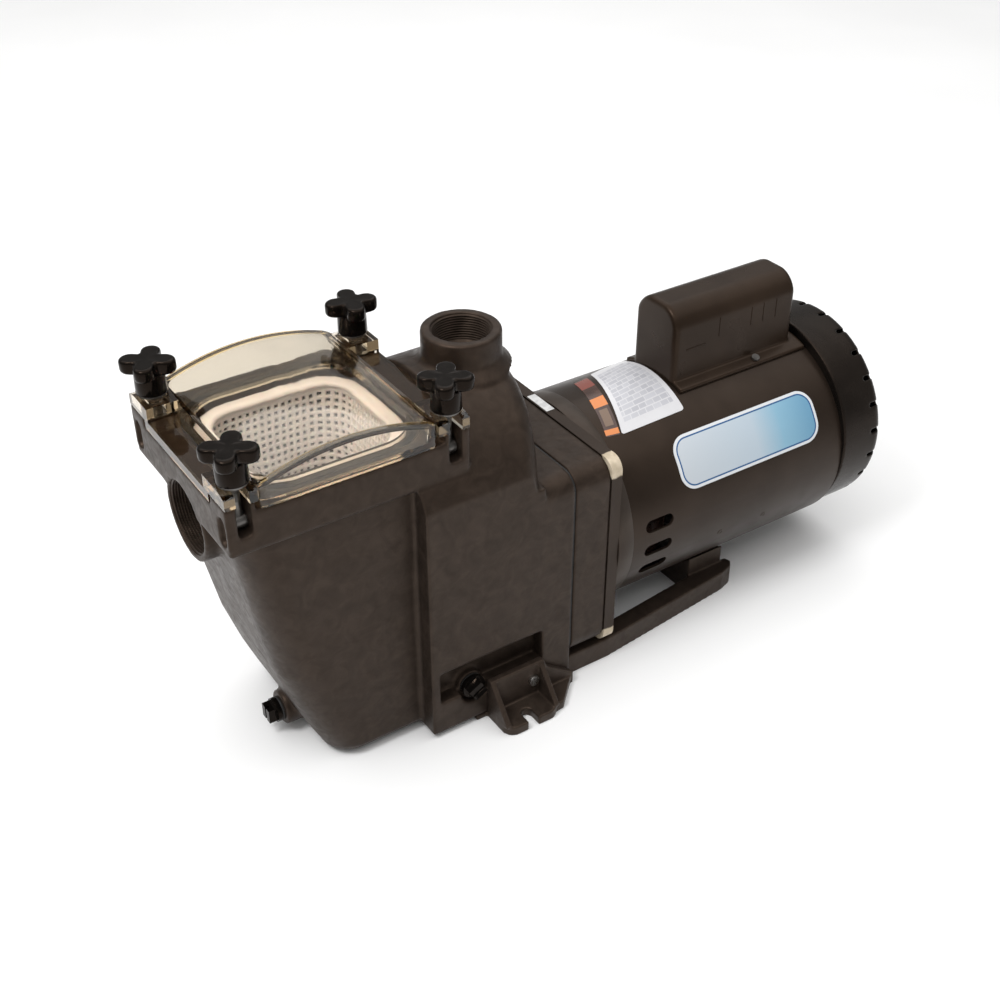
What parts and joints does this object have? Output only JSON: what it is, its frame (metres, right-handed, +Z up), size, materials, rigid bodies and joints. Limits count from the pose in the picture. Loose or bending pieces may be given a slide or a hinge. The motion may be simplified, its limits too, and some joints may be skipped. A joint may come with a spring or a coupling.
{
  "type": "pool pump",
  "caption": "Self-priming pool pump: strainer pot under a clear arched lid clamped by star knobs, top outlet, end inlet, close-coupled motor.",
  "frame": {"origin": "on the floor under the centre of the discharge port, in the plane of symmetry of the casing", "axes": "+X from the suction port to the rear of the motor, along the shaft; +Z up, along the discharge port; +Y to the left when looking along +X"},
  "size_m": [0.6498, 0.256, 0.328],
  "materials": {
    "moulded_black": "satin, mottled",
    "clear_amber": "clear, smoky amber tint",
    "white_plastic": "satin",
    "gloss_black": "gloss",
    "steel": "turned, bare",
    "rubber_black": "matte",
    "bronze": "machined",
    "cast_aluminium": "cast",
    "motor_paint": "satin",
    "core_steel": "varnished laminations",
    "copper": "varnished wire",
    "fan_plastic": "matte",
    "label_white": "satin foil",
    "label_orange": "satin foil",
    "label_blue": "satin"
  },
  "bodies": {
    "pump": {"capacitor": "cast_aluminium", "capacitor_cover": "motor_paint", "capacitor_cover_screws": "steel", "capacitor_strap": "steel", "caution_strip": "label_orange", "diffuser": "moulded_black", "foot_screws": "steel", "front_bearing_outer_ring": "steel", "housing_bolts": "steel", "housing_gasket": "rubber_black", "lid_gasket": "rubber_black", "motor_front_bracket": "cast_aluminium", "motor_pad": "rubber_black", "motor_rear_bracket": "cast_aluminium", "motor_shell": "motor_paint", "motor_through_bolts": "steel", "mounting_foot": "moulded_black", "name_plate": "label_blue", "pump_housing": "moulded_black", "rating_label": "label_white", "rear_bearing_outer_ring": "steel", "rear_cover": "motor_paint", "rear_cover_screws": "steel", "seal_plate": "moulded_black", "seal_seat": "white_plastic", "stator_core": "core_steel", "stator_windings": "copper", "strainer_basket": "white_plastic", "strainer_lid": "clear_amber", "swing_bolt_pins": "steel", "terminal_board": "fan_plastic", "wear_ring": "bronze"},
    "rotor": {"motor_shaft": "steel", "rotor_core": "cast_aluminium", "impeller": "moulded_black", "impeller_screw": "steel", "seal_head": "steel", "slinger": "rubber_black", "cooling_fan": "fan_plastic", "front_bearing_inner_ring": "steel", "rear_bearing_inner_ring": "steel"},
    "front_balls": {"front_bearing_balls": "steel"},
    "rear_balls": {"rear_bearing_balls": "steel"},
    "bolt_front_right": {"swing_bolt_front_right": "steel"},
    "washer_front_right": {"knob_washer_front_right": "steel"},
    "knob_front_right": {"lid_knob_front_right": "gloss_black"},
    "bolt_front_left": {"swing_bolt_front_left": "steel"},
    "washer_front_left": {"knob_washer_front_left": "steel"},
    "knob_front_left": {"lid_knob_front_left": "gloss_black"},
    "bolt_rear_right": {"swing_bolt_rear_right": "steel"},
    "washer_rear_right": {"knob_washer_rear_right": "steel"},
    "knob_rear_right": {"lid_knob_rear_right": "gloss_black"},
    "bolt_rear_left": {"swing_bolt_rear_left": "steel"},
    "washer_rear_left": {"knob_washer_rear_left": "steel"},
    "knob_rear_left": {"lid_knob_rear_left": "gloss_black"},
    "plug_front": {"drain_plug_front": "moulded_black"},
    "plug_gasket_front": {"drain_gasket_front": "rubber_black"},
    "plug_side": {"drain_plug_side": "moulded_black"},
    "plug_gasket_side": {"drain_gasket_side": "rubber_black"}
  },
  "joints": [
    {"name": "rotor_spin", "type": "hinge", "parent": "pump", "child": "rotor", "pos_m": [0, 0, 0.118], "axis": [1, 0, 0], "continuous": true},
    {"name": "front_balls_orbit", "type": "hinge", "parent": "pump", "child": "front_balls", "pos_m": [0.106, 0, 0.118], "axis": [1, 0, 0], "continuous": true},
    {"name": "rear_balls_orbit", "type": "hinge", "parent": "pump", "child": "rear_balls", "pos_m": [0.337, 0, 0.118], "axis": [1, 0, 0], "continuous": true},
    {"name": "swing_front_right", "type": "hinge", "parent": "pump", "child": "bolt_front_right", "pos_m": [-0.228, -0.071, 0.267], "axis": [1, 0, 0], "range_deg": [0, 95]},
    {"name": "washer_lift_front_right", "type": "slide", "parent": "bolt_front_right", "child": "washer_front_right", "axis": [0, 0, 1], "range_m": [0, 0.00564]},
    {"name": "knob_turn_front_right", "type": "hinge", "parent": "washer_front_right", "child": "knob_front_right", "pos_m": [-0.228, -0.071, 0.3], "axis": [0, 0, 1], "range_deg": [0, 1440]},
    {"name": "swing_front_left", "type": "hinge", "parent": "pump", "child": "bolt_front_left", "pos_m": [-0.228, 0.071, 0.267], "axis": [-1, 0, 0], "range_deg": [0, 95]},
    {"name": "washer_lift_front_left", "type": "slide", "parent": "bolt_front_left", "child": "washer_front_left", "axis": [0, 0, 1], "range_m": [0, 0.00564]},
    {"name": "knob_turn_front_left", "type": "hinge", "parent": "washer_front_left", "child": "knob_front_left", "pos_m": [-0.228, 0.071, 0.3], "axis": [0, 0, 1], "range_deg": [0, 1440]},
    {"name": "swing_rear_right", "type": "hinge", "parent": "pump", "child": "bolt_rear_right", "pos_m": [-0.058, -0.071, 0.267], "axis": [1, 0, 0], "range_deg": [0, 95]},
    {"name": "washer_lift_rear_right", "type": "slide", "parent": "bolt_rear_right", "child": "washer_rear_right", "axis": [0, 0, 1], "range_m": [0, 0.00564]},
    {"name": "knob_turn_rear_right", "type": "hinge", "parent": "washer_rear_right", "child": "knob_rear_right", "pos_m": [-0.058, -0.071, 0.3], "axis": [0, 0, 1], "range_deg": [0, 1440]},
    {"name": "swing_rear_left", "type": "hinge", "parent": "pump", "child": "bolt_rear_left", "pos_m": [-0.058, 0.071, 0.267], "axis": [-1, 0, 0], "range_deg": [0, 95]},
    {"name": "washer_lift_rear_left", "type": "slide", "parent": "bolt_rear_left", "child": "washer_rear_left", "axis": [0, 0, 1], "range_m": [0, 0.00564]},
    {"name": "knob_turn_rear_left", "type": "hinge", "parent": "washer_rear_left", "child": "knob_rear_left", "pos_m": [-0.058, 0.071, 0.3], "axis": [0, 0, 1], "range_deg": [0, 1440]},
    {"name": "gasket_back_front", "type": "slide", "parent": "pump", "child": "plug_gasket_front", "axis": [-1, 0, 0], "range_m": [0, 0.00564]},
    {"name": "plug_turn_front", "type": "hinge", "parent": "plug_gasket_front", "child": "plug_front", "pos_m": [-0.19, -0.01, 0.022], "axis": [-1, 0, 0], "range_deg": [0, 1440]},
    {"name": "gasket_back_side", "type": "slide", "parent": "pump", "child": "plug_gasket_side", "axis": [0, -1, 0], "range_m": [0, 0.00564]},
    {"name": "plug_turn_side", "type": "hinge", "parent": "plug_gasket_side", "child": "plug_side", "pos_m": [-0.051, -0.087, 0.038], "axis": [0, -1, 0], "range_deg": [0, 1440]}
  ],
  "couplings": [
    {"joint": "front_balls_orbit", "follows": "rotor_spin", "ratio": 0.384},
    {"joint": "rear_balls_orbit", "follows": "rotor_spin", "ratio": 0.384},
    {"joint": "washer_lift_front_right", "follows": "knob_turn_front_right", "m_per_rad": 0.00022441},
    {"joint": "washer_lift_front_left", "follows": "knob_turn_front_left", "m_per_rad": 0.00022441},
    {"joint": "washer_lift_rear_right", "follows": "knob_turn_rear_right", "m_per_rad": 0.00022441},
    {"joint": "washer_lift_rear_left", "follows": "knob_turn_rear_left", "m_per_rad": 0.00022441},
    {"joint": "gasket_back_front", "follows": "plug_turn_front", "m_per_rad": 0.00022441},
    {"joint": "gasket_back_side", "follows": "plug_turn_side", "m_per_rad": 0.00022441}
  ]
}
